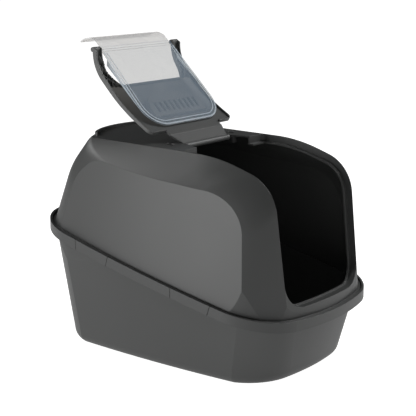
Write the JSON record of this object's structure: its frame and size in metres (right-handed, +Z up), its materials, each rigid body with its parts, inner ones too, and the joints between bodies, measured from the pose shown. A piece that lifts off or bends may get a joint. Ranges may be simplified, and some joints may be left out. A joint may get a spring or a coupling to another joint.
{
  "type": "covered litter box",
  "caption": "Covered litter box: deep pan with tilted rim, clip-on hood, fold-back lid over the entrance and swinging door flap.",
  "frame": {"origin": "on the floor under the middle of the rim", "axes": "+Z up, the entrance towards -Y, the long way along Y"},
  "size_m": [0.382, 0.561, 0.5574],
  "materials": {
    "pan_plastic": "fine moulded grain",
    "hood_plastic": "fine moulded grain",
    "lid_plastic": "fine moulded grain",
    "latch_plastic": "fine moulded grain",
    "filter_cover_plastic": "fine moulded grain",
    "flap_plastic": "clear frosted",
    "filter_foam": "open carbon foam"
  },
  "bodies": {
    "pan": {"base_pan": "pan_plastic"},
    "hood": {"hood_shell": "hood_plastic"},
    "lid": {"front_lid": "lid_plastic", "filter_cover": "filter_cover_plastic", "carbon_filter": "filter_foam"},
    "flap": {"swing_flap": "flap_plastic"},
    "latch_front_left": {"latch_front_left": "latch_plastic"},
    "latch_front_right": {"latch_front_right": "latch_plastic"},
    "latch_back_left": {"latch_back_left": "latch_plastic"},
    "latch_back_right": {"latch_back_right": "latch_plastic"}
  },
  "joints": [
    {"name": "hood_lift", "type": "slide", "parent": "pan", "child": "hood", "axis": [0, 0, 1], "range_m": [0, 0.15]},
    {"name": "lid_hinge", "type": "hinge", "parent": "hood", "child": "lid", "pos_m": [0, -0.008, 0.377], "axis": [1, 0, 0], "range_deg": [0, 150]},
    {"name": "flap_pivot", "type": "hinge", "parent": "lid", "child": "flap", "pos_m": [0, 0.15476, 0.53909], "axis": [-1, 0, 0], "range_deg": [0, 160]},
    {"name": "latch_front_left_pivot", "type": "hinge", "parent": "pan", "child": "latch_front_left", "pos_m": [-0.18429, -0.1124, 0.13981], "axis": [0.0277, -0.9771, -0.211], "range_deg": [0, 35]},
    {"name": "latch_front_right_pivot", "type": "hinge", "parent": "pan", "child": "latch_front_right", "pos_m": [0.18429, -0.1124, 0.13981], "axis": [0.0277, 0.9771, 0.211], "range_deg": [0, 35]},
    {"name": "latch_back_left_pivot", "type": "hinge", "parent": "pan", "child": "latch_back_left", "pos_m": [-0.17945, 0.1086, 0.18755], "axis": [-0.0705, -0.975, -0.2106], "range_deg": [0, 35]},
    {"name": "latch_back_right_pivot", "type": "hinge", "parent": "pan", "child": "latch_back_right", "pos_m": [0.17945, 0.1086, 0.18755], "axis": [-0.0705, 0.975, 0.2106], "range_deg": [0, 35]}
  ]
}
